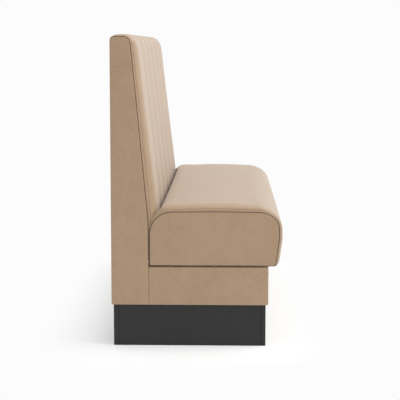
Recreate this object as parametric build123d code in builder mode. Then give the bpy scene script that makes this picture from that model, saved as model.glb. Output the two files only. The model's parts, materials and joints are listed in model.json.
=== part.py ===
"""Single-sided restaurant booth bench: a padded, channelled back and a lift-off seat on a plinth.

X runs along the bench, -Y is the side that faces the table, +Z is up, and all sizes are in
millimetres. The origin is on the floor, in the middle of the bench's length and depth.
"""
import os
from math import cos, radians, sin

from build123d import *

os.makedirs("parts", exist_ok=True)

# Driving sizes: heights are from the floor, depths run forward from the rear face
overall_length = 1200
overall_depth = 589
overall_height = 1067
plinth_height = 143
base_height = 132
base_front_setback = 51
seat_seam_height = 466
back_foot_depth = 129
back_knee_depth = 127
back_knee_height = 430
back_top_depth = 68.4
back_top_lean = 1.2
channel_count = 6

# Boards and skins
board = 18
ply = 12
rear_panel = 6
end_cover = 4
rib_spacing = 400
frame_gap = 0.3

# Plinth
plinth_front_setback = 9
plinth_rear_setback = 7
plinth_end_setback = 5
plinth_rib_floor_gap = 20
plinth_edge_chamfer = 1.5

# Back upholstery
back_pad_base = 12
back_lumbar_crown = 34.5
back_crest_crown = 20.5
back_top_crown = 8.5
back_roll_width = 30
back_valley_share = 0.86
back_pad_tail_gap = 14
back_flap_drop = 40
back_front_corner = 22
back_crown_corner = 44
back_rear_corner = 13
back_rear_crown_corner = 24
back_knee_blend = 160
channel_steps = 6
roll_steps = 4
channel_fullness = 3

# Seat upholstery
seat_top_crown = 19
seat_front_crown = 11.5
seat_rear_gap = 2
seat_back_gap = 0.5
seat_roll_width = 30
seat_shoulder_share = 0.92
seat_underside_setback = 14
seat_end_underside_setback = 10
seat_shadow_gap = 3
seat_bulge_height = 370
seat_top_dome_share = 0.009
seat_seam_dome_share = 0.005
seat_dome_blend = 3000
seat_rear_corner = 80
seat_rear_crown_corner = 30
seat_front_corner = 75
seat_front_crown_corner = 90
seat_bulge_blend = 110
seat_under_corner = 9
seat_under_crown_corner = 20
seat_edge_pad = 14
seat_board = 15
seat_board_setback = 6
foam_corner = 30
locating_block = 40
locating_block_drop = 20
locating_clearance = 2

# Levelling glides, tee nuts and the bolts that join the seat frame to the back
corner_block = 60
corner_block_height = 40
corner_block_lift = 60
glide_foot_radius = 18
glide_foot_sides = 6
glide_foot_height = 8
glide_floor_clearance = 2
glide_foot_edge = 1.5
stem_radius = 5
stem_length = 78
stem_clearance = 0.05
stem_tip_chamfer = 1
block_bore_clearance = 1
tee_flange_radius = 11
tee_flange = 2
tee_barrel_radius = 6.5
tee_barrel_length = 13
bolt_radius = 4
bolt_hole_clearance = 0.25
bolt_head_radius = 9
bolt_head_height = 4
washer_radius = 10
washer = 2
nut_radius = 7
nut_height = 6.5
bolt_end = 3
bolt_spacing = 400
bolt_row_count = 3
cover_corner = 6
cover_edge = 1.5

# Levels and planes worked out from the sizes above
half_length = overall_length / 2
panel_outer = half_length - end_cover
panel_inner = panel_outer - board
base_top = plinth_height + base_height
base_depth = overall_depth - base_front_setback
seat_underside_depth = overall_depth - seat_underside_setback
back_seam_top = overall_height - back_top_crown
seat_seam_depth = overall_depth - seat_front_crown
seat_rear_depth = back_foot_depth + seat_rear_gap
seat_rear_bow = (back_lumbar_crown + seat_back_gap) / seat_shoulder_share
seat_underside = base_top + seat_shadow_gap
plinth_front = base_depth - plinth_front_setback
plinth_rear = plinth_rear_setback
plinth_end = half_length - plinth_end_setback
rear_face = overall_depth / 2


def at(forward, height):
    """A point of an end profile: how far forward of the rear face, how high above the floor."""
    return (rear_face - forward, height)


def rear_line(height):
    """How far the rear face leans forward at a height."""
    rise_share = (height - plinth_height) / (back_seam_top - plinth_height)
    return back_top_lean * rise_share


def back_seam(height):
    """Depth of the seam along the front edge of the back's end panel."""
    if height < back_knee_height:
        foot_share = (height - plinth_height) / (back_knee_height - plinth_height)
        return back_foot_depth + (back_knee_depth - back_foot_depth) * foot_share
    rake_share = (height - back_knee_height) / (back_seam_top - back_knee_height)
    return back_knee_depth + (back_top_depth - back_knee_depth) * rake_share


def save(builder, node):
    """Label a finished sub-part and write it under its own name."""
    builder.part.label = node
    export_step(builder.part, f"parts/{node}.step")


def end_profile(points, start, thickness, cut=None):
    """A board or panel: an outline seen from the bench's end, from one X plane to another."""
    with BuildPart() as piece:
        with BuildSketch(Plane.YZ.offset(start)):
            with BuildLine():
                Polyline(*points, close=True)
            make_face()
            if cut:
                with BuildLine():
                    Polyline(*cut, close=True)
                make_face(mode=Mode.SUBTRACT)
        extrude(amount=thickness)
    return piece


def box_points(near, far, low, high):
    """Corners of an upright rectangle in an end profile."""
    return [at(near, low), at(far, low), at(far, high), at(near, high)]


# Plinth: four black boards on edge, with two cross members under the frame's inner ribs
def plinth_board(depth_start):
    """A long board of the plinth, with its top edges and corners eased."""
    with BuildPart() as piece:
        with BuildSketch(Plane.YZ.offset(-plinth_end)):
            with BuildLine():
                Polyline(*box_points(depth_start, depth_start + board, 0, plinth_height), close=True)
            make_face()
        extrude(amount=2 * plinth_end)
        chamfer(piece.edges().filter_by(Axis.Z), plinth_edge_chamfer)
    return piece


save(plinth_board(plinth_front - board), "plinth_front_board")
save(plinth_board(plinth_rear), "plinth_rear_board")

plinth_span = box_points(plinth_rear + board, plinth_front - board, 0, plinth_height)
save(end_profile(plinth_span, -plinth_end, board), "plinth_left_board")
save(end_profile(plinth_span, plinth_end - board, board), "plinth_right_board")

rib_span = box_points(plinth_rear + board, plinth_front - board, plinth_rib_floor_gap, plinth_height)
for side, name in ((-1, "left"), (1, "right")):
    rib_start = side * rib_spacing / 2 - board / 2
    save(end_profile(rib_span, rib_start, board), f"plinth_{name}_cross_member")


# Corner blocks with a bore for each levelling stem, and the tee nut pressed up into each
block_x = plinth_end - board - corner_block / 2
block_front = plinth_front - board - corner_block / 2
block_rear = plinth_rear + board + corner_block / 2
corners = (
    ("front_left", -block_x, rear_face - block_front),
    ("front_right", block_x, rear_face - block_front),
    ("rear_left", -block_x, rear_face - block_rear),
    ("rear_right", block_x, rear_face - block_rear),
)

for name, x, y in corners:
    with BuildPart() as block:
        with BuildSketch(Plane((x, y, corner_block_lift))):
            Rectangle(corner_block, corner_block)
            Circle(stem_radius + block_bore_clearance, mode=Mode.SUBTRACT)
        extrude(amount=corner_block_height)
        with BuildSketch(Plane((x, y, corner_block_lift))):
            Circle(tee_barrel_radius)
        extrude(amount=tee_barrel_length, mode=Mode.SUBTRACT)
    save(block, f"plinth_block_{name}")

with BuildPart() as tee_nuts:
    for name, x, y in corners:
        with BuildSketch(Plane((x, y, corner_block_lift - tee_flange))):
            Circle(tee_flange_radius)
            Circle(stem_radius + stem_clearance, mode=Mode.SUBTRACT)
        extrude(amount=tee_flange)
        with BuildSketch(Plane((x, y, corner_block_lift))):
            Circle(tee_barrel_radius)
            Circle(stem_radius + stem_clearance, mode=Mode.SUBTRACT)
        extrude(amount=tee_barrel_length)
save(tee_nuts, "tee_nuts")

for name, x, y in corners:
    foot_top = glide_floor_clearance + glide_foot_height
    with BuildPart() as foot:
        with BuildSketch(Plane((x, y, glide_floor_clearance))):
            RegularPolygon(glide_foot_radius, glide_foot_sides)
        extrude(amount=glide_foot_height)
        foot_levels = foot.edges().group_by(Axis.Z)
        chamfer(foot_levels[0] + foot_levels[-1], glide_foot_edge)
    save(foot, f"glide_foot_{name}")
    with BuildPart() as stem:
        with BuildSketch(Plane((x, y, foot_top))):
            Circle(stem_radius)
        extrude(amount=stem_length)
        chamfer(stem.edges().group_by(Axis.Z)[-1], stem_tip_chamfer)
    save(stem, f"glide_stem_{name}")


# Seat frame: end panels, front and rear rails and two ribs, standing on the plinth
base_frame_front = base_depth - end_cover
base_panel = box_points(back_foot_depth, base_frame_front, plinth_height, base_top)
save(end_profile(base_panel, -panel_outer, board), "base_left_panel")
save(end_profile(base_panel, panel_inner, board), "base_right_panel")

bolt_height = plinth_height + base_height / 2


def base_rail(depth_start, drilled):
    """A long rail of the seat frame, drilled where it is bolted to the back."""
    with BuildPart() as piece:
        with BuildSketch(Plane.XZ.offset(depth_start - rear_face)):
            with Locations((0, bolt_height)):
                Rectangle(2 * panel_inner, base_height)
            if drilled:
                with Locations((0, bolt_height)):
                    with GridLocations(bolt_spacing, base_height, bolt_row_count, 1):
                        Circle(bolt_radius + bolt_hole_clearance, mode=Mode.SUBTRACT)
        extrude(amount=board)
    return piece


save(base_rail(base_frame_front - board, False), "base_front_rail")
save(base_rail(back_foot_depth, True), "base_rear_rail")

base_rib = box_points(back_foot_depth + board, base_frame_front - board, plinth_height, base_top)
for side, name in ((-1, "left"), (1, "right")):
    rib_start = side * rib_spacing / 2 - board / 2
    save(end_profile(base_rib, rib_start, board), f"base_{name}_rib")


# Upholstered skins of the seat frame: one across the front and one on each end
def base_end_cover(start):
    """The thin padded skin on an end of the seat frame, with its front corners rounded."""
    with BuildPart() as piece:
        with BuildSketch(Plane.YZ.offset(start)) as face:
            with BuildLine():
                Polyline(*box_points(back_foot_depth + frame_gap, base_depth, plinth_height, base_top),
                         close=True)
            make_face()
            front_corners = face.vertices().group_by(Axis.X)[0]
            fillet(front_corners, cover_corner)
        extrude(amount=end_cover)
    return piece


save(base_end_cover(-half_length), "base_left_cover")
save(base_end_cover(panel_outer), "base_right_cover")

with BuildPart() as base_front_cover:
    with BuildSketch(Plane.YZ.offset(-panel_outer)):
        with BuildLine():
            Polyline(*box_points(base_frame_front, base_depth, plinth_height, base_top), close=True)
        make_face()
    extrude(amount=2 * panel_outer)
    front_edges = base_front_cover.edges().filter_by(Axis.X).group_by(Axis.Y)[0]
    fillet(front_edges, cover_edge)
save(base_front_cover, "base_front_cover")


# Back frame: four tapered gussets, a bottom rail, a rear rail and a top rail
gusset_front = back_pad_base + ply
gusset_top = back_seam_top - back_pad_base - board
top_rail_top = back_seam_top - back_pad_base
gusset = [
    at(rear_line(plinth_height) + rear_panel, plinth_height),
    at(back_foot_depth - board, plinth_height),
    at(back_foot_depth - board, base_top),
    at(back_seam(base_top) - gusset_front, base_top),
    at(back_seam(back_knee_height) - gusset_front, back_knee_height),
    at(back_seam(gusset_top) - gusset_front, gusset_top),
    at(rear_line(gusset_top) + rear_panel, gusset_top),
]
rear_rail_height = base_height * 2 / 3
rear_rail_top = plinth_height + rear_rail_height
rear_rail = [
    at(rear_line(plinth_height) + rear_panel, plinth_height),
    at(rear_panel + board, plinth_height),
    at(rear_panel + board, rear_rail_top),
    at(rear_line(rear_rail_top) + rear_panel, rear_rail_top),
]
gusset_starts = {
    "end_left": -panel_outer,
    "mid_left": -rib_spacing / 2 - board / 2,
    "mid_right": rib_spacing / 2 - board / 2,
    "end_right": panel_inner,
}
for name, start in gusset_starts.items():
    save(end_profile(gusset, start, board, cut=rear_rail), f"back_gusset_{name}")

save(end_profile(rear_rail, -panel_outer, 2 * panel_outer), "back_rear_rail")

top_rail = [
    at(rear_line(gusset_top) + rear_panel, gusset_top),
    at(back_seam(gusset_top) - gusset_front, gusset_top),
    at(back_seam(top_rail_top) - gusset_front, top_rail_top),
    at(rear_line(top_rail_top) + rear_panel, top_rail_top),
]
save(end_profile(top_rail, -panel_outer, 2 * panel_outer), "back_top_rail")

with BuildPart() as back_bottom_rail:
    with BuildSketch(Plane.XZ.offset(back_foot_depth - board - rear_face)):
        with Locations((0, bolt_height)):
            Rectangle(2 * panel_outer, base_height)
            with GridLocations(bolt_spacing, base_height, bolt_row_count, 1):
                Circle(bolt_radius + bolt_hole_clearance, mode=Mode.SUBTRACT)
    extrude(amount=board)
save(back_bottom_rail, "back_bottom_rail")

# Bolts through the two rails, each with a low bevelled head, a washer and a nut
bolt_grip = 2 * board
bolt_shank = bolt_grip + washer + nut_height + bolt_end
bolt_starts = [(row - (bolt_row_count - 1) / 2) * bolt_spacing for row in range(bolt_row_count)]
seat_rail_face = rear_face - back_foot_depth - board
back_rail_face = rear_face - back_foot_depth + board

with BuildPart() as frame_bolts:
    for x in bolt_starts:
        with BuildSketch(Plane((x, seat_rail_face, bolt_height), z_dir=(0, 1, 0))):
            Circle(bolt_radius)
        extrude(amount=bolt_shank)
        with BuildSketch(Plane((x, seat_rail_face, bolt_height), z_dir=(0, -1, 0))):
            Circle(bolt_head_radius)
        extrude(amount=bolt_head_height)
    heads = frame_bolts.edges().filter_by(GeomType.CIRCLE).group_by(Axis.Y)[0]
    chamfer(heads, bolt_head_height / 2)
save(frame_bolts, "frame_bolts")

with BuildPart() as frame_nuts:
    for x in bolt_starts:
        with BuildSketch(Plane((x, back_rail_face, bolt_height), z_dir=(0, 1, 0))):
            Circle(washer_radius)
            Circle(bolt_radius + stem_clearance, mode=Mode.SUBTRACT)
        extrude(amount=washer)
        with BuildSketch(Plane((x, back_rail_face + washer, bolt_height), z_dir=(0, 1, 0))):
            RegularPolygon(nut_radius, 6)
            Circle(bolt_radius + stem_clearance, mode=Mode.SUBTRACT)
        extrude(amount=nut_height)
save(frame_nuts, "frame_nuts")

# Boards behind the upholstery: an upright one at the lumbar, a raked one above, a rear panel
lumbar_board = [
    at(back_seam(base_top) - gusset_front, base_top),
    at(back_seam(base_top) - back_pad_base, base_top),
    at(back_seam(back_knee_height) - back_pad_base, back_knee_height),
    at(back_seam(back_knee_height) - gusset_front, back_knee_height),
]
save(end_profile(lumbar_board, -panel_outer, 2 * panel_outer), "back_lumbar_board")

front_board = [
    at(back_seam(back_knee_height) - gusset_front, back_knee_height),
    at(back_seam(back_knee_height) - back_pad_base, back_knee_height),
    at(back_seam(top_rail_top) - back_pad_base, top_rail_top),
    at(back_seam(top_rail_top) - gusset_front, top_rail_top),
]
save(end_profile(front_board, -panel_outer, 2 * panel_outer), "back_front_board")

flap_height = back_seam_top - back_flap_drop
rear_panel_outline = [
    at(rear_line(plinth_height), plinth_height),
    at(rear_line(plinth_height) + rear_panel, plinth_height),
    at(rear_line(flap_height) + rear_panel, flap_height),
    at(rear_line(flap_height), flap_height),
]
save(end_profile(rear_panel_outline, -panel_outer, 2 * panel_outer), "back_rear_panel")


# End panels of the back: the flat upholstered face that the pads are sewn to
def back_end_cover(start):
    """The tall tapered end panel, rounded where the pads turn over the top."""
    corner_radii = [0, 0, back_knee_blend, back_front_corner, back_rear_corner]
    with BuildPart() as piece:
        with BuildSketch(Plane.YZ.offset(start)):
            with BuildLine():
                FilletPolyline(
                    at(rear_line(plinth_height), plinth_height),
                    at(back_foot_depth, plinth_height),
                    at(back_knee_depth, back_knee_height),
                    at(back_top_depth, back_seam_top),
                    at(back_top_lean, back_seam_top),
                    radius=corner_radii, close=True)
            make_face()
        extrude(amount=end_cover)
    return piece


save(back_end_cover(-half_length), "back_left_cover")
save(back_end_cover(panel_outer), "back_right_cover")


# Channelled pads of the back: each one is stuffed between two seams and wraps over the top rail
pad_tail = base_top + back_pad_tail_gap


def back_pad_section(x, rise):
    """The pad's outline at one place along the bench; rise is its share of the full crown."""
    lumbar = rise * back_lumbar_crown
    crest = rise * back_crest_crown
    top = back_seam_top + rise * back_top_crown
    corner = back_front_corner + rise * (back_crown_corner - back_front_corner)
    rear_corner = back_rear_corner + rise * (back_rear_crown_corner - back_rear_corner)
    outline = [
        at(back_seam(pad_tail) - back_pad_base, pad_tail),
        at(back_seam(pad_tail) + lumbar, pad_tail),
        at(back_knee_depth + lumbar, back_knee_height),
        at(back_top_depth + crest, top),
        at(back_top_lean, top),
        at(rear_line(flap_height), flap_height),
        at(rear_line(flap_height) + rear_panel, flap_height),
        at(rear_line(top_rail_top) + rear_panel, top_rail_top),
        at(back_seam(top_rail_top) - back_pad_base, top_rail_top),
        at(back_seam(back_knee_height) - back_pad_base, back_knee_height),
    ]
    corner_radii = [0, 0, back_knee_blend, corner, rear_corner, 0, 0, 0, 0, 0]
    with BuildSketch(Plane.YZ.offset(x)) as section:
        with BuildLine():
            FilletPolyline(*outline, radius=corner_radii, close=True)
        make_face()
    return section.sketch


def channel_rise(share):
    """Height of a stuffed channel above its seams, at a share of the way across it."""
    off_middle = abs(2 * share - 1)
    swell = (1 - off_middle ** channel_fullness) ** (1 / channel_fullness)
    return back_valley_share + (1 - back_valley_share) * swell


def roll_stations(width, crown_share):
    """Steps of the quarter round by which a pad rises from the end seam, from the seam inwards."""
    turns = [90 * step / roll_steps for step in range(roll_steps + 1)]
    return [(width * (1 - cos(radians(turn))), crown_share * sin(radians(turn))) for turn in turns]


channel_width = 2 * panel_outer / channel_count
channel_shares = [(1 - cos(radians(180 * step / channel_steps))) / 2 for step in range(channel_steps + 1)]

for channel in range(channel_count):
    left_seam = -panel_outer + channel * channel_width
    stations = [(left_seam + share * channel_width, channel_rise(share)) for share in channel_shares]
    half = channel_steps // 2
    roll = roll_stations(back_roll_width, 1)
    if channel == 0:
        stations = [(-panel_outer + inset, rise) for inset, rise in roll] + stations[half:]
    if channel == channel_count - 1:
        stations = stations[:half + 1] + [(panel_outer - inset, rise) for inset, rise in reversed(roll)]
    with BuildPart() as back_channel:
        loft([back_pad_section(x, rise) for x, rise in stations], ruled=True)
    save(back_channel, f"back_channel_{channel + 1}")


# Seat: a board with locating blocks, a foam core, a crowned wrap and two flat end panels
board_near = seat_rear_depth + seat_rear_bow + seat_board_setback
board_far = seat_underside_depth - seat_edge_pad
board_half = panel_outer - seat_edge_pad
board_top = base_top + seat_board


def seat_section(x, rise):
    """The cushion's outline at one place along the bench; rise is its share of the full crown."""
    rear = seat_rear_depth + rise * seat_rear_bow
    front = seat_seam_depth + rise * seat_front_crown
    top = seat_seam_height + rise * seat_top_crown
    under = seat_underside_depth - (1 - rise) * seat_end_underside_setback
    rear_corner = seat_rear_corner + rise * (seat_rear_crown_corner - seat_rear_corner)
    front_corner = seat_front_corner + rise * (seat_front_crown_corner - seat_front_corner)
    under_corner = seat_under_corner + rise * (seat_under_crown_corner - seat_under_corner)
    middle = (rear + front) / 2
    dome_share = seat_seam_dome_share + rise * (seat_top_dome_share - seat_seam_dome_share)
    outline = [
        at(rear, seat_underside),
        at(under, seat_underside),
        at(front, seat_bulge_height),
        at(front, top),
        at(middle, top + dome_share * (front - rear)),
        at(rear, top),
    ]
    corner_radii = [
        seat_under_corner, under_corner, seat_bulge_blend,
        front_corner, seat_dome_blend, rear_corner,
    ]
    with BuildSketch(Plane.YZ.offset(x)) as section:
        with BuildLine():
            FilletPolyline(*outline, radius=corner_radii, close=True)
        make_face()
    return section.sketch


with BuildPart() as seat_panel:
    with BuildSketch(Plane.YZ.offset(-board_half)):
        with BuildLine():
            Polyline(*box_points(board_near, board_far, base_top, board_top), close=True)
        make_face()
    extrude(amount=2 * board_half)
save(seat_panel, "seat_board")

block_reach = panel_inner - locating_clearance - locating_block / 2
front_block = base_frame_front - board - locating_clearance - locating_block / 2
rear_block = board_near + locating_block / 2
with BuildPart() as seat_locating_blocks:
    for x in (-block_reach, block_reach):
        for depth in (front_block, rear_block):
            with BuildSketch(Plane((x, rear_face - depth, base_top - locating_block_drop))):
                Rectangle(locating_block, locating_block)
            extrude(amount=locating_block_drop)
save(seat_locating_blocks, "seat_locating_blocks")

foam_near = seat_rear_depth + seat_rear_bow + seat_edge_pad
foam_far = seat_seam_depth - seat_edge_pad
foam_top = seat_seam_height + seat_shoulder_share * seat_top_crown - seat_edge_pad
foam_half = panel_outer - seat_roll_width
with BuildPart() as seat_foam:
    with BuildSketch(Plane.YZ.offset(-foam_half)):
        with BuildLine():
            FilletPolyline(
                at(foam_near, board_top),
                at(seat_underside_depth - seat_edge_pad, board_top),
                at(foam_far, seat_bulge_height),
                at(foam_far, foam_top),
                at(foam_near, foam_top),
                radius=[0, 0, seat_bulge_blend, foam_corner, foam_corner], close=True)
        make_face()
    extrude(amount=2 * foam_half)
save(seat_foam, "seat_foam")

# The wrap rises from each end seam by a quarter round, then runs on with a slight crown between
seat_inner = panel_outer - seat_roll_width
seat_roll = roll_stations(seat_roll_width, seat_shoulder_share)
left_stations = [(-panel_outer + inset, rise) for inset, rise in seat_roll]
right_stations = [(-x, rise) for x, rise in left_stations]
middle_stations = []
for step in range(channel_steps + 1):
    share = step / channel_steps
    swell = (1 - seat_shoulder_share) * sin(radians(180 * share))
    middle_stations.append((seat_inner * (2 * share - 1), seat_shoulder_share + swell))

with BuildPart() as seat_wrap:
    for stations in (left_stations, middle_stations, right_stations):
        loft([seat_section(x, rise) for x, rise in stations], ruled=True)
    add([seat_foam.part, seat_panel.part], mode=Mode.SUBTRACT)
save(seat_wrap, "seat_wrap")

for start, node in ((-half_length, "seat_left_cover"), (panel_outer, "seat_right_cover")):
    with BuildPart() as seat_end:
        extrude(seat_section(start, 0), amount=end_cover)
    save(seat_end, node)
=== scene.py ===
import json
from math import cos, exp, pi, radians, sin, tan

import bmesh
import bpy
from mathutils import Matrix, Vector, noise


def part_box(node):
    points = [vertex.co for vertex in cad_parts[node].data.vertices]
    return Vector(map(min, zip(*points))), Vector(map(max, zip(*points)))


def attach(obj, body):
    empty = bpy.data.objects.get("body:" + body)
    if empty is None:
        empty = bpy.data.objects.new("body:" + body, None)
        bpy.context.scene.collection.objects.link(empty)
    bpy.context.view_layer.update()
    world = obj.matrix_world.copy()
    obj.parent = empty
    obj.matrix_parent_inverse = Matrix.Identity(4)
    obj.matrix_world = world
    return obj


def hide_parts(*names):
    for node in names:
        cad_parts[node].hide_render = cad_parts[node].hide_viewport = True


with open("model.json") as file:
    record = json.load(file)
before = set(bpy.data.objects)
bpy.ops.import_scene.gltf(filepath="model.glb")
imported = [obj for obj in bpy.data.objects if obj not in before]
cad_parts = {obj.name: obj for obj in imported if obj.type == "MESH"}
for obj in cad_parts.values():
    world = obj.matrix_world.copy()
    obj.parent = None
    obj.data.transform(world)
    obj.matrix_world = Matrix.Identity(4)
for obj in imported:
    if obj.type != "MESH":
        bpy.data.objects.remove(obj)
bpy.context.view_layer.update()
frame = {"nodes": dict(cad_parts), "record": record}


# Camera, in front of the bench's left end. The photograph's upright lines are parallel, as a level camera
# with a large shift draws them. A small tilt takes over most of that shift, at a cost of under 2 pixels.
SENSOR_WIDTH = 36
CAMERA_LENS = 87.7
CAMERA_SHIFT = (-0.0216, -0.15)
CAMERA_PLACE = (-3.8684, -0.1068, 1.0233)
CAMERA_TILT = 5.449
CAMERA_TURN = 1.185

camera = bpy.data.objects.new("photo_camera", bpy.data.cameras.new("photo_camera"))
camera.data.sensor_width = SENSOR_WIDTH
camera.data.lens = CAMERA_LENS
camera.data.shift_x, camera.data.shift_y = CAMERA_SHIFT
camera.location = CAMERA_PLACE
camera.rotation_euler = (radians(90 - CAMERA_TILT), 0, radians(CAMERA_TURN - 90))
bpy.context.scene.collection.objects.link(camera)
bpy.context.scene.camera = camera
bpy.context.scene.view_settings.view_transform = "Standard"


# Studio: a pale floor that shows two thirds of the shadow near the bench and fades into a white room, one
# large soft box high above the front, and an even fill from the room.
BACKDROP_WHITE = "#FCFCFC"
FLOOR_HALF_WIDTH = 20
FLOOR_SHADOW_CORE = (0.62, 0.25, 0)
FLOOR_SHADOW_MIDDLE = (0, -0.055, 0)
FLOOR_SHADOW_REACH = 0.26
FLOOR_SHADOW_FALL = 1.5
FLOOR_SHADOW_SHOWN = 0.68
ROOM_LIGHT = "#F8F9FB"
ROOM_STRENGTH = 0.88
SOFT_BOX_PLACE = (-0.5, -2.65, 4.1)
SOFT_BOX_AIM = (0, 0, 0.5)
SOFT_BOX_SIDE = 3.0
SOFT_BOX_WATTS = 140
SOFT_BOX_COLOUR = "#FFFCF8"


def linear(hex_code):
    """An sRGB hex colour as the linear colour that Blender's sockets hold."""
    shown = [int(hex_code[i:i + 2], 16) / 255 for i in (1, 3, 5)]
    return tuple(c / 12.92 if c <= 0.04045 else ((c + 0.055) / 1.055) ** 2.4 for c in shown) + (1,)


def put(tree, kind, inputs=None, **settings):
    """Adds a node. An input given as a socket is linked to it, and any other value is set."""
    made = tree.nodes.new("ShaderNode" + kind)
    for name, value in settings.items():
        setattr(made, name, value)
    for name, value in (inputs or {}).items():
        if isinstance(value, bpy.types.NodeSocket):
            tree.links.new(value, made.inputs[name])
        else:
            made.inputs[name].default_value = value
    return made


def empty_material(name):
    """A new material without nodes, and its node tree."""
    made = bpy.data.materials.new(name)
    made.use_nodes = True
    made.node_tree.nodes.clear()
    return made, made.node_tree


def seen_directly(tree):
    """1 where the camera, a mirror or a glass looks, and 0 for the light that falls on things."""
    path = put(tree, "LightPath")
    either = put(tree, "Math", {0: path.outputs["Is Camera Ray"], 1: path.outputs["Is Glossy Ray"]},
                 operation="MAXIMUM")
    return put(tree, "Math", {0: either.outputs[0], 1: path.outputs["Is Transmission Ray"]},
               operation="MAXIMUM").outputs[0]


world = bpy.data.worlds.new("white_room")
world.use_nodes = True
world.node_tree.nodes.clear()
room = world.node_tree
room_fill = put(room, "Background", {"Color": linear(ROOM_LIGHT), "Strength": ROOM_STRENGTH})
room_seen = put(room, "Background", {"Color": linear(BACKDROP_WHITE), "Strength": 1})
room_mix = put(room, "MixShader", {0: seen_directly(room), 1: room_fill.outputs[0], 2: room_seen.outputs[0]})
put(room, "OutputWorld", {"Surface": room_mix.outputs[0]})
bpy.context.scene.world = world

floor_mesh = bpy.data.meshes.new("studio_floor")
floor_form = bmesh.new()
bmesh.ops.create_grid(floor_form, x_segments=1, y_segments=1, size=FLOOR_HALF_WIDTH)
floor_form.to_mesh(floor_mesh)
floor_form.free()
floor = bpy.data.objects.new("studio_floor", floor_mesh)
bpy.context.scene.collection.objects.link(floor)

floor_paint, tree = empty_material("matte_white_studio_floor")
place = put(tree, "TexCoord").outputs["Object"]
centred = put(tree, "VectorMath", {0: place, 1: FLOOR_SHADOW_MIDDLE}, operation="ADD").outputs[0]
across = put(tree, "VectorMath", {0: centred}, operation="ABSOLUTE").outputs[0]
outside = put(tree, "VectorMath", {0: across, 1: FLOOR_SHADOW_CORE}, operation="SUBTRACT").outputs[0]
outside = put(tree, "VectorMath", {0: outside, 1: (0, 0, 0)}, operation="MAXIMUM").outputs[0]
away = put(tree, "VectorMath", {0: outside}, operation="LENGTH").outputs["Value"]
near = put(tree, "MapRange", {"Value": away, "From Max": FLOOR_SHADOW_REACH,
                              "To Min": 1, "To Max": 0}).outputs[0]
kept = put(tree, "Math", {0: near, 1: FLOOR_SHADOW_FALL}, operation="POWER").outputs[0]
fade = put(tree, "Math", {0: kept, 1: -FLOOR_SHADOW_SHOWN, 2: 1}, operation="MULTIPLY_ADD").outputs[0]
shown = put(tree, "Math", {0: fade, 1: seen_directly(tree)}, operation="MULTIPLY").outputs[0]
matte = put(tree, "BsdfDiffuse", {"Color": linear(BACKDROP_WHITE)})
bright = put(tree, "Emission", {"Color": linear(BACKDROP_WHITE), "Strength": 1})
floor_mix = put(tree, "MixShader", {0: shown, 1: matte.outputs[0], 2: bright.outputs[0]})
put(tree, "OutputMaterial", {"Surface": floor_mix.outputs[0]})
floor_mesh.materials.append(floor_paint)

soft_box = bpy.data.objects.new("soft_box", bpy.data.lights.new("soft_box", "AREA"))
soft_box.data.shape = "SQUARE"
soft_box.data.size = SOFT_BOX_SIDE
soft_box.data.energy = SOFT_BOX_WATTS
soft_box.data.color = linear(SOFT_BOX_COLOUR)[:3]
soft_box.location = SOFT_BOX_PLACE
soft_box.rotation_euler = (Vector(SOFT_BOX_AIM) - Vector(SOFT_BOX_PLACE)).to_track_quat("-Z", "Y").to_euler()
bpy.context.scene.collection.objects.link(soft_box)


# Plinth: four boards on edge, faced with a matte black laminate and fixed to blocks in the corners. The eye
# gets an even near-black with no highlight, and a faint cloudiness, drawn coarser than the laminate's
# texture to show.
MM = 0.001
LAMINATE_TONES = ("#242423", "#1F1F1E")
LAMINATE_CLOUD_MM = 12
LAMINATE_ROUGHNESS = 0.7
FINISH_NOISE = {"Detail": 5, "Roughness": 0.6}
FINISH_RANGE = {"From Min": 0.35, "From Max": 0.65}
FINISH_RELIEF = 0.1
FINISH_RELIEF_MM = 0.5


def solid_finish(name, tones, patch_mm, roughness, metallic=0.0, relief=FINISH_RELIEF, stretch=(1, 1, 1)):
    """A finish in two tones mixed by noise, with a fine relief."""
    made, tree = empty_material(name)
    place = put(tree, "TexCoord").outputs["Object"]
    scaled = put(tree, "Mapping", {"Vector": place, "Scale": stretch}).outputs[0]
    patches = put(tree, "TexNoise", {"Vector": scaled, "Scale": 1 / (patch_mm * MM), **FINISH_NOISE})
    share = put(tree, "MapRange", {"Value": patches.outputs["Fac"], **FINISH_RANGE}).outputs[0]
    colour = put(tree, "Mix", {"Factor": share, "A": linear(tones[0]), "B": linear(tones[1])}, data_type="RGBA")
    bump = put(tree, "Bump", {"Strength": relief, "Distance": FINISH_RELIEF_MM * MM,
                              "Height": patches.outputs["Fac"]})
    skin = put(tree, "BsdfPrincipled", {"Base Color": colour.outputs[2], "Roughness": roughness,
                                        "Metallic": metallic, "Normal": bump.outputs[0]})
    put(tree, "OutputMaterial", {"Surface": skin.outputs[0]})
    return made


def finish_nodes(slot, material):
    """Gives every solid of the CAD model that has a material slot its finish."""
    for entry in frame["record"]["subparts"]:
        if entry["material_slot"] == slot:
            node = frame["nodes"][entry["node"]]
            node.data.materials.clear()
            node.data.materials.append(material)


black_laminate = solid_finish("black_matte_laminate", LAMINATE_TONES, LAMINATE_CLOUD_MM, LAMINATE_ROUGHNESS)
finish_nodes("black_laminate", black_laminate)


# Frames of the plinth, the base, the back and the seat: birch plywood boards, rails and blocks, glued and
# screwed. The eye gets a pale, warm wood with soft streaks along the bench, ten times as long as wide and
# drawn wider than the real grain to show.
BIRCH_TONES = ("#D9BE93", "#C5A677")
BIRCH_STREAK_MM = 14
BIRCH_STREAK_STRETCH = (0.1, 1, 1)
BIRCH_ROUGHNESS = 0.6

birch_plywood = solid_finish("birch_plywood", BIRCH_TONES, BIRCH_STREAK_MM, BIRCH_ROUGHNESS,
                             stretch=BIRCH_STREAK_STRETCH)
finish_nodes("birch_plywood", birch_plywood)


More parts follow.
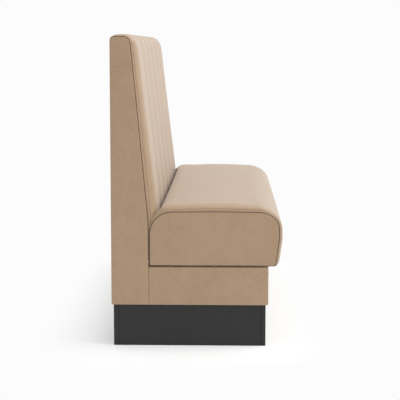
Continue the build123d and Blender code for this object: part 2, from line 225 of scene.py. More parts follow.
# Bolts, washers and nuts that join the back to the base, tee nuts in the plinth, and the threaded stems of
# its glides: zinc-plated steel. The eye gets a cool grey metal with a soft highlight and a slight mottle,
# as the plating leaves it.
ZINC_TONES = ("#B9BCC0", "#A7AAAE")
ZINC_MOTTLE_MM = 2
ZINC_ROUGHNESS = 0.35

zinc_plated_steel = solid_finish("zinc_plated_steel", ZINC_TONES, ZINC_MOTTLE_MM, ZINC_ROUGHNESS, metallic=1.0)
finish_nodes("zinc_steel", zinc_plated_steel)


# Feet of the levelling glides: black nylon, moulded, one on each stem. The eye gets a plain black with a
# dull highlight, and the fine unevenness of a moulded face.
NYLON_TONES = ("#202020", "#262626")
NYLON_PATCH_MM = 1.5
NYLON_ROUGHNESS = 0.5

black_nylon = solid_finish("black_moulded_nylon", NYLON_TONES, NYLON_PATCH_MM, NYLON_ROUGHNESS)
finish_nodes("black_nylon", black_nylon)


# Upholstery of the whole bench: a matte microfibre faux leather with a nubuck face, in one beige. The eye
# gets a soft, slightly cloudy colour, no shine, and a pale bloom where it is seen edge on. Its grain is
# drawn about three times coarser than the real one, to show.
LEATHER_BASE = "#A48869"
LEATHER_CLOUD = "#987C5D"
LEATHER_CLOUD_MM = 70
LEATHER_NAP_MM = 9
LEATHER_NAP_SHARE = 0.35
LEATHER_GRAIN_MM = 2.6
LEATHER_RELIEF = 0.12
LEATHER_RELIEF_MM = 0.6
LEATHER_ROUGHNESS = 0.5
LEATHER_ROUGHNESS_PLAY = 0.05
LEATHER_SHEEN = 0.38
LEATHER_SHEEN_ROUGHNESS = 0.62
LEATHER_IOR = 1.45

beige_nubuck, tree = empty_material("beige_nubuck_faux_leather")
place = put(tree, "TexCoord").outputs["Object"]
clouds = put(tree, "TexNoise", {"Vector": place, "Scale": 1 / (LEATHER_CLOUD_MM * MM), "Detail": 4,
                                "Roughness": 0.6})
nap = put(tree, "TexNoise", {"Vector": place, "Scale": 1 / (LEATHER_NAP_MM * MM), "Detail": 3,
                             "Roughness": 0.6})
grain = put(tree, "TexVoronoi", {"Vector": place, "Scale": 1 / (LEATHER_GRAIN_MM * MM)})
blend = put(tree, "Math", {0: clouds.outputs["Fac"], 1: nap.outputs["Fac"], 2: LEATHER_NAP_SHARE},
            operation="MULTIPLY_ADD")
tint = put(tree, "MapRange", {"Value": blend.outputs[0], "From Min": 0.5, "From Max": 0.85})
colour = put(tree, "Mix", {"Factor": tint.outputs[0], "A": linear(LEATHER_BASE), "B": linear(LEATHER_CLOUD)},
             data_type="RGBA")
rough = put(tree, "MapRange", {"Value": nap.outputs["Fac"], "From Min": 0.3, "From Max": 0.7,
                               "To Min": LEATHER_ROUGHNESS - LEATHER_ROUGHNESS_PLAY,
                               "To Max": LEATHER_ROUGHNESS + LEATHER_ROUGHNESS_PLAY})
height = put(tree, "Math", {0: grain.outputs["Distance"], 1: nap.outputs["Fac"]}, operation="ADD")
relief = put(tree, "Bump", {"Strength": LEATHER_RELIEF, "Distance": LEATHER_RELIEF_MM * MM,
                            "Height": height.outputs[0]})
skin = put(tree, "BsdfPrincipled", {"Base Color": colour.outputs[2], "Roughness": rough.outputs[0],
                                    "Normal": relief.outputs[0], "Sheen Weight": LEATHER_SHEEN,
                                    "Sheen Roughness": LEATHER_SHEEN_ROUGHNESS, "IOR": LEATHER_IOR})
put(tree, "OutputMaterial", {"Surface": skin.outputs[0]})
finish_nodes("beige_leather", beige_nubuck)
finish_nodes("rear_panel_leather", beige_nubuck)


# Base box's skins: faux leather over thin foam on the front and both ends, stapled underneath. Each end is
# cut to its outline, and its outer edge turns over in a small roll. From here on, a length whose name
# gives no unit is in millimetres, as in the part's source.
SIDES = ((-1, "left"), (1, "right"))
REAR_FACE = 294.5
BENCH_HALF = 600
PANEL_OUTER = 596
PLINTH_TOP = 143
BACK_FOOT = 129
PANEL_JOINT = 0.3
PANEL_ROLL = 3
PANEL_ROLL_CUTS = 4
PANEL_CUT_MM = 18
OUTER_FACE_FROM = 0.6
DOME_EVENNESS = 4
SHARP_FROM = 40
BASE_TOP = 275
BASE_DEPTH = 538
BASE_CORNER_ROUND = 6
BASE_DOME = 0.8
FRONT_ROLL = 3.8
FRONT_RIM_MM = 1


def rounded_outline(corners):
    """A closed outline seen from the bench's end. Each corner is (forward, height, radius, arc cuts,
    cuts of the side after it), in millimetres; its arc comes from a vertex bevel."""
    shape = bmesh.new()
    points = [Vector((0, (REAR_FACE - forward) * MM, height * MM)) for forward, height, *rest in corners]
    verts = [shape.verts.new(point) for point in points]
    shape.faces.new(verts)
    starts = []
    for i, (forward, height, radius, arc, side) in enumerate(corners):
        before, here, after = points[i - 1], points[i], points[(i + 1) % len(points)]
        reach = radius * MM * tan((here - before).angle(after - here) / 2)
        starts.append(here + (before - here).normalized() * reach)
        if radius:
            bmesh.ops.bevel(shape, geom=[verts[i]], offset=reach, offset_type="OFFSET", segments=arc,
                            profile=0.5, affect="VERTICES", material=-1)
    shape.faces.ensure_lookup_table()
    face = shape.faces[0]
    ring = [loop.vert for loop in face.loops]
    first = min(range(len(ring)), key=lambda i: (ring[i].co - starts[0]).length)
    ring = ring[first:] + ring[:first]
    step = 0
    for forward, height, radius, arc, side in corners:
        step += arc if radius else 0
        near, end = ring[step], ring[(step + 1) % len(ring)]
        for left_over in range(side, 1, -1):
            near = bmesh.utils.edge_split(shape.edges.get((near, end)), near, 1 / left_over)[1]
        step += 1
    loops = [loop.vert for loop in face.loops]
    first = loops.index(ring[0])
    line = [vert.co.copy() for vert in loops[first:] + loops[:first]]
    shape.free()
    return line


def make_piece(name, form, material, body, nodes=(), sharp=SHARP_FROM):
    """Turns a bmesh into a named piece with its finish and body, and hides the CAD nodes it stands for."""
    bmesh.ops.recalc_face_normals(form, faces=form.faces)
    mesh = bpy.data.meshes.new(name)
    form.to_mesh(mesh)
    form.free()
    piece = bpy.data.objects.new(name, mesh)
    bpy.context.scene.collection.objects.link(piece)
    mesh.shade_smooth()
    mesh.set_sharp_from_angle(angle=radians(sharp))
    mesh.materials.append(material)
    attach(piece, body)
    if nodes:
        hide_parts(*nodes)
    return piece


def drawn_out(line, start, length):
    """A solid from an outline at a place along the bench, with the faces and points that the extrusion adds."""
    form = bmesh.new()
    face = form.faces.new([form.verts.new((start * MM, point.y, point.z)) for point in line])
    grown = bmesh.ops.extrude_face_region(form, geom=[face])["geom"]
    bmesh.ops.translate(form, vec=(length * MM, 0, 0),
                        verts=[item for item in grown if isinstance(item, bmesh.types.BMVert)])
    return form, grown


def roll_over(form, edges, radius):
    """Rounds the edges of a skin."""
    bmesh.ops.bevel(form, geom=edges, offset=radius * MM, offset_type="OFFSET", segments=PANEL_ROLL_CUTS,
                    profile=0.5, affect="EDGES", material=-1)


def end_panel(line, side, dome):
    """A flat panel from its outline on one end of the bench: its outer edge rolled over, the face cut into
    a grid and domed a little by the foam under it."""
    outer, inner = side * BENCH_HALF, side * PANEL_OUTER
    form, grown = drawn_out(line, inner, outer - inner)
    rim = {edge for item in grown if isinstance(item, bmesh.types.BMFace) for edge in item.edges}
    roll_over(form, list(rim), PANEL_ROLL)
    low = Vector(min(vert.co[i] for vert in form.verts) for i in range(3))
    high = Vector(max(vert.co[i] for vert in form.verts) for i in range(3))
    for axis in (1, 2):
        cuts = max(2, round((high[axis] - low[axis]) / (PANEL_CUT_MM * MM)))
        for step in range(1, cuts):
            place, normal = Vector((0, 0, 0)), Vector((0, 0, 0))
            place[axis] = low[axis] + (high[axis] - low[axis]) * step / cuts
            normal[axis] = 1
            bmesh.ops.bisect_plane(form, geom=form.verts[:] + form.edges[:] + form.faces[:],
                                   plane_co=place, plane_no=normal)
    for vert in form.verts:
        if abs(vert.co.x - inner * MM) > OUTER_FACE_FROM * abs(outer - inner) * MM:
            share = 1
            for axis in (1, 2):
                off_middle = abs(2 * (vert.co[axis] - low[axis]) / (high[axis] - low[axis]) - 1)
                share *= 1 - off_middle ** DOME_EVENNESS
            vert.co.x += side * dome * MM * share
    return form


base_end_line = rounded_outline([
    (BACK_FOOT + PANEL_JOINT, PLINTH_TOP, 0, 1, 30),
    (BASE_DEPTH, PLINTH_TOP, BASE_CORNER_ROUND, 4, 10),
    (BASE_DEPTH, BASE_TOP, BASE_CORNER_ROUND, 4, 30),
    (BACK_FOOT + PANEL_JOINT, BASE_TOP, 0, 1, 10),
])
for side, name in SIDES:
    panel = end_panel(base_end_line, side, BASE_DOME)
    make_piece(f"base_end_{name}", panel, beige_nubuck, "root", [f"base_{name}_cover"])

front_skin = bmesh.new()
low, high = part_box("base_front_cover")
bmesh.ops.create_cube(front_skin, size=1)
bmesh.ops.scale(front_skin, vec=high - low, verts=front_skin.verts)
bmesh.ops.translate(front_skin, vec=(high + low) / 2, verts=front_skin.verts)
roll_over(front_skin, [edge for edge in front_skin.edges
                       if all(vert.co.y < low.y + FRONT_RIM_MM * MM for vert in edge.verts)], FRONT_ROLL)
make_piece("base_front", front_skin, beige_nubuck, "root", ["base_front_cover"])


# Back end panels: the tall tapered faces, faux leather over 4 mm foam on the end gussets. Each is cut
# to the back's outline, and its edge turns over into the seam that joins it to the pads.
BACK_SEAM_TOP = 1058.5
BACK_KNEE = 127
KNEE_HEIGHT = 430
BACK_TOP = 68.4
BACK_LEAN = 1.2
BACK_FOOT_ROUND = 4
BACK_KNEE_ROUND = 160
BACK_CREST_ROUND = 24
BACK_REAR_ROUND = 13
BACK_END_DOME = 1

back_end_line = rounded_outline([
    (0, PLINTH_TOP, BACK_FOOT_ROUND, 4, 6),
    (BACK_FOOT, PLINTH_TOP, 0, 1, 20),
    (BACK_KNEE, KNEE_HEIGHT, BACK_KNEE_ROUND, 4, 60),
    (BACK_TOP, BACK_SEAM_TOP, BACK_CREST_ROUND, 10, 4),
    (BACK_LEAN, BACK_SEAM_TOP, BACK_REAR_ROUND, 6, 60),
])
for side, name in SIDES:
    panel = end_panel(back_end_line, side, BACK_END_DOME)
    make_piece(f"back_end_{name}", panel, beige_nubuck, "root", [f"back_{name}_cover"])


# Channelled back: six foam-stuffed pads of faux leather, sewn to each other and to the end panels and
# pulled over the top rail. Each swells between two seams, and the outer ones roll down to the end seam.
# Outline of a pad, seen from the bench's end
PAD_BASE = 12
PAD_TAIL = 289
LUMBAR_CROWN = 34.5
CREST_CROWN = 20.5
CREST_ROUND_GAIN = 20
TOP_CROWN = 8.5
REAR_ROUND_GAIN = 11
FLAP_HEIGHT = 1018.5
RAIL_TOP = BACK_SEAM_TOP - PAD_BASE
REAR_BOARD = 6
# Swell of a channel, as a share of its crown, and the creases at its seams
CHANNELS = 6
CHANNEL_CUTS = 22
VALLEY_SHARE = 0.88
PEAK_SHARE = 1.07
CREASE_DEPTH = 5.5
CREASE_WIDTH = 6
# Roll down to the end seam, cut at turns in degrees, and the groove and the gathered lip beside that seam
ROLL_WIDTH = 30
ROLL_TURNS = (0, 3, 6, 9, 12, 15, 18, 22, 28, 36, 45, 54, 63, 72, 81)
ROLL_CUTS = 6
LIP_GROOVE = 2.4
LIP_GROOVE_TURN = 15
LIP_GROOVE_WIDTH = 3.5
LIP_PUCKER = 2.2
LIP_PUCKER_WAVE = 27
LIP_PUCKER_SEED = 5
GATHERED_ABOVE = 500
# Gathers of the lip: noise makes their wave wander and their strength change
GATHER_DRIFT = 4
GATHER_DRIFT_MM = 70
GATHER_LEAST = 0.35
GATHER_GAIN = 1.3
GATHER_BEAT_MM = 45
GATHER_BEAT_ROW = 3
# Small puckers beside the seams between the channels
RIPPLE_WAVE = 31
RIPPLE_HEIGHT = 0.4
RIPPLE_SPREAD = 5
RIPPLE_REACH = 4
RIPPLE_DRIFT = 2.2
RIPPLE_DRIFT_MM = 60
RIPPLE_LEAST = 0.6
RIPPLE_GAIN = 0.8
RIPPLE_BEAT_MM = 90
RIPPLE_BEAT_ROW = 7
# Cloth: its pressure, the most that a point may move, which points are held, and how moves are evened out
BACK_PRESSURE = 4
BACK_SWELL = 2
HELD_AT_SEAM = 2
HELD_BELOW = 470
HELD_INSIDE = 0.5
HELD_UNDER_RAIL = 0.01
CLOTH_FRAMES = 12
CLOTH_QUALITY = 3
CLOTH_MASS = 0.4
CLOTH_STRETCH = 15
CLOTH_SHEAR = 8
CLOTH_BEND = 1
EVEN_TURNS = 14
EVEN_SHARE = 0.7
STILL = 1e-9


def back_seam(height):
    """Depth of the front edge of the back's end panel at a height."""
    if height < KNEE_HEIGHT:
        return BACK_FOOT + (BACK_KNEE - BACK_FOOT) * (height - PLINTH_TOP) / (KNEE_HEIGHT - PLINTH_TOP)
    return BACK_KNEE + (BACK_TOP - BACK_KNEE) * (height - KNEE_HEIGHT) / (BACK_SEAM_TOP - KNEE_HEIGHT)


def rear_line(height):
    """How far the rear face leans forward at a height."""
    return BACK_LEAN * (height - PLINTH_TOP) / (BACK_SEAM_TOP - PLINTH_TOP)


def pad_line(rise):
    """A pad's outline in the end view, at a share of its full crown."""
    lumbar, crest = rise * LUMBAR_CROWN, rise * CREST_CROWN
    top = BACK_SEAM_TOP + rise * TOP_CROWN
    return rounded_outline([
        (back_seam(PAD_TAIL) - PAD_BASE, PAD_TAIL, 0, 1, 5),
        (back_seam(PAD_TAIL) + lumbar, PAD_TAIL, 0, 1, 16),
        (BACK_KNEE + lumbar, KNEE_HEIGHT, BACK_KNEE_ROUND, 6, 110),
        (BACK_TOP + crest, top, BACK_CREST_ROUND + CREST_ROUND_GAIN * rise, 12, 5),
        (BACK_LEAN, top, BACK_REAR_ROUND + REAR_ROUND_GAIN * rise, 6, 6),
        (rear_line(FLAP_HEIGHT), FLAP_HEIGHT, 0, 1, 1),
        (rear_line(FLAP_HEIGHT) + REAR_BOARD, FLAP_HEIGHT, 0, 1, 3),
        (rear_line(RAIL_TOP) + REAR_BOARD, RAIL_TOP, 0, 1, 4),
        (back_seam(RAIL_TOP) - PAD_BASE, RAIL_TOP, 0, 1, 30),
        (back_seam(KNEE_HEIGHT) - PAD_BASE, KNEE_HEIGHT, 0, 1, 8),
    ])


def puckers(line, wave, seed, lowest):
    """Irregular gathers along a sewn outline, from 0 to 1 at each of its points above a height."""
    along, gathers = 0, []
    for i, point in enumerate(line):
        along += (point - line[i - 1]).length / MM
        drift = GATHER_DRIFT * noise.noise(Vector((along / GATHER_DRIFT_MM, seed, 0)))
        beat = abs(noise.noise(Vector((along / GATHER_BEAT_MM, GATHER_BEAT_ROW, seed))))
        strength = min(1, GATHER_LEAST + GATHER_GAIN * beat)
        gathers.append(max(0, sin(2 * pi * along / wave + drift)) * strength if point.z > lowest * MM else 0)
    return gathers


def swept_pad(stations, seam_line, crown_line, gathers, tight_line=None, tightening=1):
    """Extrudes the seam's outline along the bench, each step drawn out towards the crown's outline.
    Each station is (x, rise, sink, lip): sink is how deep its crease pulls the cover in, and lip is how
    far the gathers push it out along the bench. A tight line is the seam's outline with the crown's
    corners, which a tightening under 1 reaches sooner than the crown."""
    form = bmesh.new()
    ring = []
    for x, rise, sink, lip in stations:
        mixed = []
        sooner = rise ** tightening - rise
        for low, high, tight, gather in zip(seam_line, crown_line, tight_line or seam_line, gathers):
            reach = high - low
            pull = reach.normalized() * min(sink * MM, reach.length / 2) if reach.length > MM else Vector()
            point = low + reach * rise - pull + (tight - low) * sooner
            point.x = (x + lip * gather) * MM
            mixed.append(point)
        if not ring:
            ring = [form.verts.new(point) for point in mixed]
            for i, vert in enumerate(ring):
                form.edges.new((ring[i - 1], vert))
            form.faces.new(ring)
            continue
        edges = [form.edges.get((ring[i - 1], ring[i])) for i in range(len(ring))]
        grown = bmesh.ops.extrude_edge_only(form, edges=edges)["geom"]
        fresh = {item for item in grown if isinstance(item, bmesh.types.BMVert)}
        ring = [next(e.other_vert(v) for e in v.link_edges if e.other_vert(v) in fresh) for v in ring]
        for vert, point in zip(ring, mixed):
            vert.co = point
    form.faces.new(ring)
    return form


def rolled_end(width, groove, lip):
    """Stations of the round that leads down to an end seam, from the seam inwards, with a shallow groove
    beside the seam and the gathered lip between them."""
    stations = []
    for degrees in ROLL_TURNS:
        turn = radians(degrees)
        dip = groove * exp(-((degrees - LIP_GROOVE_TURN) / LIP_GROOVE_WIDTH) ** 2)
        gathered = lip * sin(pi * degrees / LIP_GROOVE_TURN) if degrees < LIP_GROOVE_TURN else 0
        stations.append((width * (1 - cos(turn)) + dip, sin(turn), 0, gathered))
    return stations


def swell(share):
    """Height of a stuffed channel, as a share of its crown, across it from seam to seam."""
    return PEAK_SHARE - (PEAK_SHARE - VALLEY_SHARE) * (2 * share - 1) ** 2


def crease(distance):
    """How deep a sewn seam pulls the cover in, at a distance across it in millimetres."""
    return CREASE_DEPTH * exp(-(distance / CREASE_WIDTH) ** 2)


def inflate(piece, held, pressure, most):
    """Swells a sewn cover with Blender's cloth, gravity off. Held points stay, the others move up to
    most, and the moves are evened out among neighbours, because a stuffed cover has no sharp folds."""
    mesh = piece.data
    rest = [vert.co.copy() for vert in mesh.vertices]
    group = piece.vertex_groups.new(name="sewn_down")
    group.add(held, 1, "REPLACE")
    cloth = piece.modifiers.new("cloth", "CLOTH")
    cloth.settings.quality = CLOTH_QUALITY
    cloth.settings.mass = CLOTH_MASS
    cloth.settings.tension_stiffness = CLOTH_STRETCH
    cloth.settings.compression_stiffness = CLOTH_STRETCH
    cloth.settings.shear_stiffness = CLOTH_SHEAR
    cloth.settings.bending_stiffness = CLOTH_BEND
    cloth.settings.use_pressure = True
    cloth.settings.uniform_pressure_force = pressure
    cloth.settings.vertex_group_mass = group.name
    cloth.settings.effector_weights.gravity = 0
    cloth.collision_settings.use_collision = False
    cloth.point_cache.frame_start, cloth.point_cache.frame_end = 1, CLOTH_FRAMES
    scene = bpy.context.scene
    for step in range(1, CLOTH_FRAMES + 1):
        scene.frame_set(step)
    swollen = piece.evaluated_get(bpy.context.evaluated_depsgraph_get()).data
    moved = [vert.co.copy() for vert in swollen.vertices]
    piece.modifiers.clear()
    piece.vertex_groups.clear()
    shifts = [(end - start) * min(1, most * MM / max((end - start).length, STILL))
              for start, end in zip(rest, moved)]
    pairs = [tuple(edge.vertices) for edge in mesh.edges]
    kept = set(held)
    for turn in range(EVEN_TURNS):
        sums, counts = [Vector() for shift in shifts], [0] * len(shifts)
        for a, b in pairs:
            sums[a] += shifts[b]
            sums[b] += shifts[a]
            counts[a] += 1
            counts[b] += 1
        shifts = [shift if i in kept else shift.lerp(sums[i] / counts[i], EVEN_SHARE)
                  for i, shift in enumerate(shifts)]
    for vert, start, shift in zip(mesh.vertices, rest, shifts):
        vert.co = start + shift
    scene.frame_set(1)


def ripple(piece, lines, seed):
    """Puckers the cover beside its sewn lines: small waves along each line that die out across it."""
    mesh = piece.data
    normals = [vert.normal.copy() for vert in mesh.vertices]
    for vert, normal in zip(mesh.vertices, normals):
        near = min(abs(vert.co.x / MM - line) for line in lines)
        if near > RIPPLE_REACH * RIPPLE_SPREAD:
            continue
        along = (vert.co.z - vert.co.y) / MM
        drift = RIPPLE_DRIFT * noise.noise(Vector((along / RIPPLE_DRIFT_MM, seed, 0)))
        beat = abs(noise.noise(Vector((along / RIPPLE_BEAT_MM, RIPPLE_BEAT_ROW, seed))))
        share = near / RIPPLE_SPREAD * exp(1 - near / RIPPLE_SPREAD)
        wave = sin(2 * pi * along / RIPPLE_WAVE + drift) * (RIPPLE_LEAST + RIPPLE_GAIN * beat)
        vert.co += normal * (RIPPLE_HEIGHT * MM * share * wave)


def even_surface(piece):
    """One subdivision, off its limit surface, which is slow on the pads' many-sided end caps."""
    smooth = piece.modifiers.new("even_surface", "SUBSURF")
    smooth.levels = smooth.render_levels = 1
    smooth.use_limit_surface = False


def held_back(pad, ends):
    """Points of a back pad that stay: its seams, the foot behind the seat, and the face on the boards."""
    held = []
    for vert in pad.data.vertices:
        at_seam = min(abs(vert.co.x / MM - end) for end in ends) < HELD_AT_SEAM
        board = REAR_FACE - back_seam(max(vert.co.z / MM, PAD_TAIL)) + PAD_BASE - HELD_INSIDE
        on_boards = vert.co.z < (RAIL_TOP + HELD_UNDER_RAIL) * MM and vert.co.y > board * MM
        if at_seam or on_boards or vert.co.z < HELD_BELOW * MM:
            held.append(vert.index)
    return held


pad_seam_line, pad_crown_line = pad_line(0), pad_line(1)
pad_gathers = puckers(pad_crown_line, LIP_PUCKER_WAVE, LIP_PUCKER_SEED, GATHERED_ABOVE)
channel_width = 2 * PANEL_OUTER / CHANNELS
channel_shares = [(1 - cos(pi * step / CHANNEL_CUTS)) / 2 for step in range(CHANNEL_CUTS + 1)]
channel_middle = CHANNEL_CUTS // 2
pad_roll = rolled_end(ROLL_WIDTH, LIP_GROOVE, LIP_PUCKER)
roll_inset, roll_rise = pad_roll[-1][:2]
for step in range(1, ROLL_CUTS):
    left_over = 1 - step / ROLL_CUTS
    pad_roll.append((channel_width / 2 - left_over * (channel_width / 2 - roll_inset),
                     PEAK_SHARE - (PEAK_SHARE - roll_rise) * left_over ** 2, 0, 0))
for channel in range(CHANNELS):
    start = -PANEL_OUTER + channel * channel_width
    stations = [(start + share * channel_width, swell(share), crease(min(share, 1 - share) * channel_width), 0)
                for share in channel_shares]
    if channel == 0:
        stations = [(inset - PANEL_OUTER, rise, sink, -lip)
                    for inset, rise, sink, lip in pad_roll] + stations[channel_middle:]
    if channel == CHANNELS - 1:
        stations = stations[:channel_middle + 1] + [(PANEL_OUTER - inset, rise, sink, lip)
                                                    for inset, rise, sink, lip in reversed(pad_roll)]
    form = swept_pad(stations, pad_seam_line, pad_crown_line, pad_gathers)
    pad = make_piece(f"back_pad_{channel + 1}", form, beige_nubuck, "root",
                     [f"back_channel_{channel + 1}"])
    ends = (stations[0][0], stations[-1][0])
    inflate(pad, held_back(pad, ends), BACK_PRESSURE, BACK_SWELL)
    ripple(pad, [end for end in ends if abs(end) < PANEL_OUTER - 1], channel)
    even_surface(pad)


# Rear panel: hardboard wrapped in the same faux leather and tacked over the back frame. Only its outer
# edges are rolled, and its upper edge meets the flap of the pads.
REAR_RIM_MM = 3

rear_outline = rounded_outline([
    (rear_line(PLINTH_TOP), PLINTH_TOP, 0, 1, 1),
    (rear_line(PLINTH_TOP) + REAR_BOARD, PLINTH_TOP, 0, 1, 1),
    (rear_line(FLAP_HEIGHT) + REAR_BOARD, FLAP_HEIGHT, 0, 1, 1),
    (rear_line(FLAP_HEIGHT), FLAP_HEIGHT, 0, 1, 1),
])
rear_skin, grown = drawn_out(rear_outline, -PANEL_OUTER, 2 * PANEL_OUTER)
roll_over(rear_skin, [edge for edge in rear_skin.edges
                      if all(vert.co.y > (REAR_FACE - REAR_RIM_MM) * MM for vert in edge.verts)], PANEL_ROLL)
make_piece("back_rear_skin", rear_skin, beige_nubuck, "root", ["back_rear_panel"])


# Loose seat: a foam block on a plywood board, wrapped in one piece of faux leather over its rear, top
# and front, with a flat end panel sewn in at each end. It rests on the seat frame and lifts straight off.
# Where a size is a pair, the first is at the end seams and the second in the crown.

# Foam: a cut polyurethane block, hidden in the wrap. A pale matte yellow, its pores drawn coarser to show
FOAM_TONES = ("#E8DDB8", "#DCCFA4")
FOAM_PORE_MM = 3
FOAM_ROUGHNESS = 0.95
FOAM_RELIEF = 0.5
# Outline of the cushion, seen from the bench's end, from the front's foot over the top to the rear's foot
SEAT_UNDERSIDE = 278
SEAT_FRONT_FOOT = (564, 575)
SEAT_FRONT_FOOT_ROUND = (9, 20)
SEAT_FRONT = (577.5, 589)
SEAT_BULGE_HEIGHT = 372
SEAT_BULGE_ROUND = 110
SEAT_NOSE_HEIGHT = (434, 439)
SEAT_NOSE_ROUND = (50, 72)
SEAT_EDGE = (536, 533)
SEAT_EDGE_HEIGHT = (467.5, 487)
SEAT_EDGE_ROUND = (84, 106)
SEAT_DOME = 360
SEAT_DOME_HEIGHT = (469.5, 495)
SEAT_DOME_ROUND = (2500, 2200)
SEAT_REAR = (129.5, 169)
SEAT_REAR_HEIGHT = (467, 486.5)
SEAT_REAR_ROUND, SEAT_REAR_TIGHT, SEAT_REAR_CROWN = 80, 24, 24
SEAT_REAR_FOOT_ROUND = 7
SEAT_TIGHTENING = 0.35
# Crown along the bench, the cloth's swelling with what holds it, and the lip beside the end seams
SEAT_SHOULDER = 0.92
SEAT_CUTS = 56
SEAT_END_DOME = 2.5
SEAT_PRESSURE = 4
SEAT_SWELL = 3
SEAT_HELD_AT_END = 6
SEAT_HELD_BELOW = 300
SEAT_HELD_AT_REAR = 12
SEAT_LIP_GROOVE = 1.2
SEAT_LIP_PUCKER = 0.5
SEAT_LIP_PUCKER_WAVE = 31
SEAT_LIP_PUCKER_SEED = 8
SEAT_GATHERED_ABOVE = 484


def seat_line(rise, rear_round):
    """The cushion's outline in the end view, at a share of its full crown. It starts at the front's
    lower edge, so that the underside comes last."""
    def at(pair):
        return pair[0] + rise * (pair[1] - pair[0])
    return rounded_outline([
        (at(SEAT_FRONT_FOOT), SEAT_UNDERSIDE, at(SEAT_FRONT_FOOT_ROUND), 8, 14),
        (at(SEAT_FRONT), SEAT_BULGE_HEIGHT, SEAT_BULGE_ROUND, 8, 4),
        (at(SEAT_FRONT), at(SEAT_NOSE_HEIGHT), at(SEAT_NOSE_ROUND), 12, 1),
        (at(SEAT_EDGE), at(SEAT_EDGE_HEIGHT), at(SEAT_EDGE_ROUND), 12, 20),
        (SEAT_DOME, at(SEAT_DOME_HEIGHT), at(SEAT_DOME_ROUND), 8, 22),
        (at(SEAT_REAR), at(SEAT_REAR_HEIGHT), rear_round, 12, 22),
        (at(SEAT_REAR), SEAT_UNDERSIDE, SEAT_REAR_FOOT_ROUND, 4, 40),
    ])


finish_nodes("seat_foam", solid_finish("polyurethane_foam", FOAM_TONES, FOAM_PORE_MM, FOAM_ROUGHNESS,
                                       relief=FOAM_RELIEF))
seat_seam_line, seat_crown_line = seat_line(0, SEAT_REAR_ROUND), seat_line(1, SEAT_REAR_CROWN)
seat_tight_line = seat_line(0, SEAT_REAR_TIGHT)
seat_gathers = puckers(seat_crown_line, SEAT_LIP_PUCKER_WAVE, SEAT_LIP_PUCKER_SEED, SEAT_GATHERED_ABOVE)
seat_roll = rolled_end(ROLL_WIDTH, SEAT_LIP_GROOVE, SEAT_LIP_PUCKER) + [(ROLL_WIDTH, 1, 0, 0)]
left = [(inset - PANEL_OUTER, SEAT_SHOULDER * rise, 0, -lip) for inset, rise, sink, lip in seat_roll]
middle = [((PANEL_OUTER - ROLL_WIDTH) * (2 * step / SEAT_CUTS - 1),
           SEAT_SHOULDER + (1 - SEAT_SHOULDER) * sin(pi * step / SEAT_CUTS), 0, 0)
          for step in range(1, SEAT_CUTS)]
right = [(-x, rise, sink, -lip) for x, rise, sink, lip in reversed(left)]
form = swept_pad(left + middle + right, seat_seam_line, seat_crown_line, seat_gathers, seat_tight_line,
                 SEAT_TIGHTENING)
cushion = make_piece("seat_cushion", form, beige_nubuck, "seat", ["seat_wrap", "seat_foam"])
held = [vert.index for vert in cushion.data.vertices
        if abs(vert.co.x / MM) > PANEL_OUTER - SEAT_HELD_AT_END or vert.co.z < SEAT_HELD_BELOW * MM
        or vert.co.y > (REAR_FACE - SEAT_REAR[1] - SEAT_HELD_AT_REAR) * MM]
inflate(cushion, held, SEAT_PRESSURE, SEAT_SWELL)
even_surface(cushion)
for side, name in SIDES:
    panel = end_panel(seat_seam_line, side, SEAT_END_DOME)
    make_piece(f"seat_end_{name}", panel, beige_nubuck, "seat", [f"seat_{name}_cover"])


# Seams of the end panels: plain sewn seams, sunk between the two covers. A thin matte line in dark umber lies
# in each as painted shade of the seam's fold, its tone changing in patches a few millimetres long.
SEAM_SHADE_TONES = ("#3B2C20", "#4C3A2B")
SEAM_SHADE_PATCH_MM = 6
SEAM_SHADE_ROUGHNESS = 0.7
SEAM_RADIUS = 1.4
SEAM_ROUND_CUTS = 2
SEAM_SHARP_FROM = 80
SAME_POINT = 1e-6
BACK_SEAM_X = 598.2
BACK_SEAM_INSET = 0.6
BACK_SEAM_REAR = 30
BACK_SEAM_BAND = 9
SEAT_SEAM_X = 599.7
SEAT_SEAM_INSET = 2.5
SEAT_SEAM_FOOT = 1.5

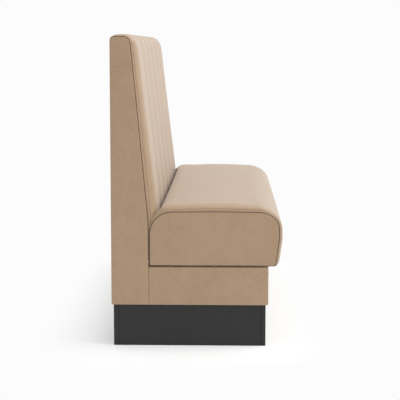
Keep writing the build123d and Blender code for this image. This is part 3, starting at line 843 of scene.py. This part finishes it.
painted_seam_shade, tree = empty_material("umber_painted_seam_shade")
place = put(tree, "TexCoord").outputs["Object"]
shade_patches = put(tree, "TexNoise", {"Vector": place, "Scale": 1 / (SEAM_SHADE_PATCH_MM * MM), "Detail": 2})
tone = put(tree, "Mix", {"Factor": shade_patches.outputs["Fac"], "A": linear(SEAM_SHADE_TONES[0]),
                         "B": linear(SEAM_SHADE_TONES[1])}, data_type="RGBA")
skin = put(tree, "BsdfPrincipled", {"Base Color": tone.outputs[2], "Roughness": SEAM_SHADE_ROUGHNESS})
put(tree, "OutputMaterial", {"Surface": skin.outputs[0]})


def drawn_in(line, inset):
    """A closed outline moved inwards by an inset in millimetres."""
    middle = sum(line, Vector()) / len(line)
    moved = []
    for i, point in enumerate(line):
        along = (line[(i + 1) % len(line)] - line[i - 1]).normalized()
        inwards = Vector((0, along.z, -along.y))
        moved.append(point + inwards * (inset * MM * (1 if inwards.dot(middle - point) > 0 else -1)))
    return moved


def seam(name, points, x, body):
    """A thin round line of painted seam shade through points at a place along the bench, drawn as a curve and
    made a mesh.
    """
    curve = bpy.data.curves.new(name, "CURVE")
    curve.dimensions = "3D"
    curve.bevel_depth = SEAM_RADIUS * MM
    curve.bevel_resolution = SEAM_ROUND_CUTS
    curve.use_fill_caps = True
    spline = curve.splines.new("POLY")
    spline.points.add(len(points) - 1)
    for target, point in zip(spline.points, points):
        target.co = (x * MM, point.y, point.z, 1)
    drawn = bpy.data.objects.new(name + "_line", curve)
    form = bmesh.new()
    form.from_mesh(bpy.data.meshes.new_from_object(drawn))
    bpy.data.objects.remove(drawn)
    bmesh.ops.remove_doubles(form, verts=form.verts, dist=SAME_POINT)
    make_piece(name, form, painted_seam_shade, body, sharp=SEAM_SHARP_FROM)


back_path = [point for point in drawn_in(back_end_line, BACK_SEAM_INSET)
             if point.z > PAD_TAIL * MM and (point.y < (REAR_FACE - BACK_SEAM_REAR) * MM
                                             or point.z > (BACK_SEAM_TOP - BACK_SEAM_BAND) * MM)]
seat_path = [point for point in drawn_in(seat_seam_line, SEAT_SEAM_INSET)
             if point.z > (SEAT_UNDERSIDE + SEAT_SEAM_FOOT) * MM]
for side, name in SIDES:
    seam(f"back_seam_{name}", back_path, side * BACK_SEAM_X, "root")
    seam(f"seat_seam_{name}", seat_path, side * SEAT_SEAM_X, "seat")
